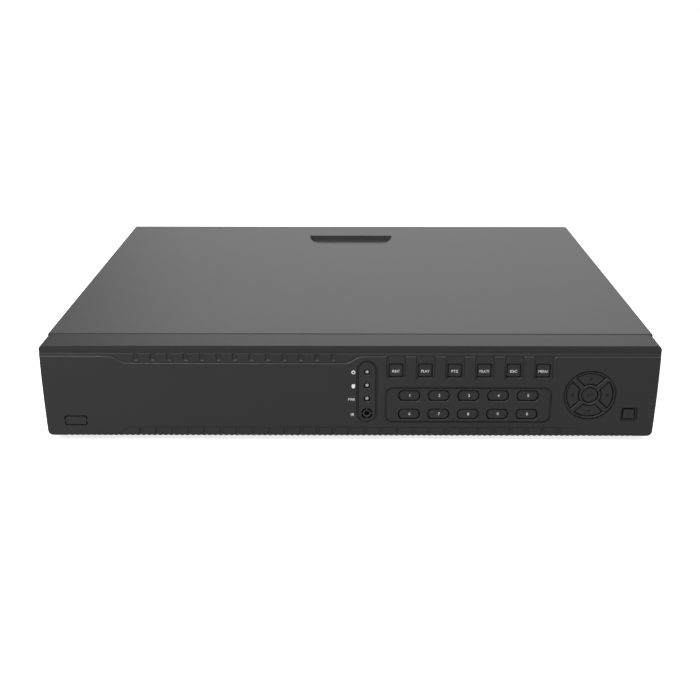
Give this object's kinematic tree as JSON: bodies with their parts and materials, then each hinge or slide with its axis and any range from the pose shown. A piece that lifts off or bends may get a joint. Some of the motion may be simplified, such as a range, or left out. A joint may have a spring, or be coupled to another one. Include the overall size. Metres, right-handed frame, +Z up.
{
  "type": "digital video recorder",
  "caption": "Rack-width desktop video recorder: steel case, moulded bezel with keypad, arrow pad and indicator capsule, coaxial jacks, fan and mains inlet at the rear.",
  "frame": {"origin": "middle of the footprint, on the surface that the feet stand on", "axes": "+X right seen from the front, +Y towards the rear connectors, +Z up"},
  "size_m": [0.4416, 0.361, 0.075],
  "materials": {
    "bezel_plastic": "moulded black, fine spark-eroded texture",
    "key_plastic": "moulded black, slightly smoother than the bezel, white printed legends",
    "coated_steel": "black fine-texture powder coat",
    "galvanised_steel": "zinc-coated sheet, faint spangle",
    "black_screw": "black oxide",
    "zinc_screw": "bright zinc plate",
    "nickel_plate": "nickel plate, semi-bright",
    "contact_brass": "gold-flashed contact",
    "white_plastic": "white insulator",
    "phono_plastic": "moulded collar, one red, one white",
    "blue_plastic": "moulded blue contact block",
    "green_plastic": "moulded green terminal block",
    "terminal_screw": "zinc-plated slotted screw",
    "black_plastic": "moulded black",
    "foot_rubber": "moulded black rubber",
    "lamp_lens": "milky clear lens",
    "receiver_lens": "dark infrared-pass lens",
    "circuit_board": "green solder mask",
    "ribbon": "grey flat cable",
    "cast_aluminium": "cast and machined"
  },
  "bodies": {
    "case": {"front_bezel": "bezel_plastic", "indicator_insert": "bezel_plastic", "top_cover": "coated_steel", "rear_panel": "coated_steel", "base_pan": "galvanised_steel", "drive_bracket": "galvanised_steel", "supply_cage": "galvanised_steel", "case_screws": "black_screw", "fan_screws": "black_screw", "inner_screws": "zinc_screw", "foot_screws": "zinc_screw", "bezel_screws": "zinc_screw", "jack_shells": "nickel_plate", "port_shields": "nickel_plate", "inlet_pins": "nickel_plate", "fan_guard": "nickel_plate", "coax_contacts": "contact_brass", "coax_insulators": "white_plastic", "phono_inserts": "phono_plastic", "vga_insert": "blue_plastic", "terminal_block": "green_plastic", "terminal_screws": "terminal_screw", "jack_housings": "black_plastic", "mains_inlet": "black_plastic", "rocker_frame": "black_plastic", "fan_frame": "black_plastic", "tact_switches": "black_plastic", "rubber_feet": "foot_rubber", "status_lamps": "lamp_lens", "infrared_receiver": "receiver_lens", "key_board": "circuit_board", "main_board": "circuit_board", "supply_board": "circuit_board", "front_ribbon": "ribbon", "hard_drives": "cast_aluminium", "heatsink": "cast_aluminium"},
    "key_record": {"key_record": "key_plastic"},
    "key_play": {"key_play": "key_plastic"},
    "key_pan_tilt": {"key_pan_tilt": "key_plastic"},
    "key_multi": {"key_multi": "key_plastic"},
    "key_escape": {"key_escape": "key_plastic"},
    "key_menu": {"key_menu": "key_plastic"},
    "key_1": {"key_1": "key_plastic"},
    "key_2": {"key_2": "key_plastic"},
    "key_3": {"key_3": "key_plastic"},
    "key_4": {"key_4": "key_plastic"},
    "key_5": {"key_5": "key_plastic"},
    "key_6": {"key_6": "key_plastic"},
    "key_7": {"key_7": "key_plastic"},
    "key_8": {"key_8": "key_plastic"},
    "key_9": {"key_9": "key_plastic"},
    "key_0": {"key_0": "key_plastic"},
    "key_up": {"key_up": "key_plastic"},
    "key_right": {"key_right": "key_plastic"},
    "key_down": {"key_down": "key_plastic"},
    "key_left": {"key_left": "key_plastic"},
    "key_enter": {"key_enter": "key_plastic"},
    "key_power": {"key_power": "key_plastic"},
    "rocker": {"rocker": "black_plastic"},
    "fan_rotor": {"fan_rotor": "black_plastic"}
  },
  "joints": [
    {"name": "key_record_press", "type": "slide", "parent": "case", "child": "key_record", "axis": [0, 1, 0], "range_m": [0, 0.0006], "stiffness_N_per_m": 1200},
    {"name": "key_play_press", "type": "slide", "parent": "case", "child": "key_play", "axis": [0, 1, 0], "range_m": [0, 0.0006], "stiffness_N_per_m": 1200},
    {"name": "key_pan_tilt_press", "type": "slide", "parent": "case", "child": "key_pan_tilt", "axis": [0, 1, 0], "range_m": [0, 0.0006], "stiffness_N_per_m": 1200},
    {"name": "key_multi_press", "type": "slide", "parent": "case", "child": "key_multi", "axis": [0, 1, 0], "range_m": [0, 0.0006], "stiffness_N_per_m": 1200},
    {"name": "key_escape_press", "type": "slide", "parent": "case", "child": "key_escape", "axis": [0, 1, 0], "range_m": [0, 0.0006], "stiffness_N_per_m": 1200},
    {"name": "key_menu_press", "type": "slide", "parent": "case", "child": "key_menu", "axis": [0, 1, 0], "range_m": [0, 0.0006], "stiffness_N_per_m": 1200},
    {"name": "key_1_press", "type": "slide", "parent": "case", "child": "key_1", "axis": [0, 1, 0], "range_m": [0, 0.0006], "stiffness_N_per_m": 1200},
    {"name": "key_2_press", "type": "slide", "parent": "case", "child": "key_2", "axis": [0, 1, 0], "range_m": [0, 0.0006], "stiffness_N_per_m": 1200},
    {"name": "key_3_press", "type": "slide", "parent": "case", "child": "key_3", "axis": [0, 1, 0], "range_m": [0, 0.0006], "stiffness_N_per_m": 1200},
    {"name": "key_4_press", "type": "slide", "parent": "case", "child": "key_4", "axis": [0, 1, 0], "range_m": [0, 0.0006], "stiffness_N_per_m": 1200},
    {"name": "key_5_press", "type": "slide", "parent": "case", "child": "key_5", "axis": [0, 1, 0], "range_m": [0, 0.0006], "stiffness_N_per_m": 1200},
    {"name": "key_6_press", "type": "slide", "parent": "case", "child": "key_6", "axis": [0, 1, 0], "range_m": [0, 0.0006], "stiffness_N_per_m": 1200},
    {"name": "key_7_press", "type": "slide", "parent": "case", "child": "key_7", "axis": [0, 1, 0], "range_m": [0, 0.0006], "stiffness_N_per_m": 1200},
    {"name": "key_8_press", "type": "slide", "parent": "case", "child": "key_8", "axis": [0, 1, 0], "range_m": [0, 0.0006], "stiffness_N_per_m": 1200},
    {"name": "key_9_press", "type": "slide", "parent": "case", "child": "key_9", "axis": [0, 1, 0], "range_m": [0, 0.0006], "stiffness_N_per_m": 1200},
    {"name": "key_0_press", "type": "slide", "parent": "case", "child": "key_0", "axis": [0, 1, 0], "range_m": [0, 0.0006], "stiffness_N_per_m": 1200},
    {"name": "key_up_press", "type": "slide", "parent": "case", "child": "key_up", "axis": [0, 1, 0], "range_m": [0, 0.0006], "stiffness_N_per_m": 1200},
    {"name": "key_right_press", "type": "slide", "parent": "case", "child": "key_right", "axis": [0, 1, 0], "range_m": [0, 0.0006], "stiffness_N_per_m": 1200},
    {"name": "key_down_press", "type": "slide", "parent": "case", "child": "key_down", "axis": [0, 1, 0], "range_m": [0, 0.0006], "stiffness_N_per_m": 1200},
    {"name": "key_left_press", "type": "slide", "parent": "case", "child": "key_left", "axis": [0, 1, 0], "range_m": [0, 0.0006], "stiffness_N_per_m": 1200},
    {"name": "key_enter_press", "type": "slide", "parent": "case", "child": "key_enter", "axis": [0, 1, 0], "range_m": [0, 0.0006], "stiffness_N_per_m": 1200},
    {"name": "key_power_press", "type": "slide", "parent": "case", "child": "key_power", "axis": [0, 1, 0], "range_m": [0, 0.0006], "stiffness_N_per_m": 1200},
    {"name": "power_rocker", "type": "hinge", "parent": "case", "child": "rocker", "pos_m": [0.19, 0.1653, 0.056], "axis": [0, 0, 1], "range_deg": [-16, 0]},
    {"name": "fan_spin", "type": "hinge", "parent": "case", "child": "fan_rotor", "pos_m": [0.136, 0.158, 0.038], "axis": [0, 1, 0], "continuous": true}
  ]
}
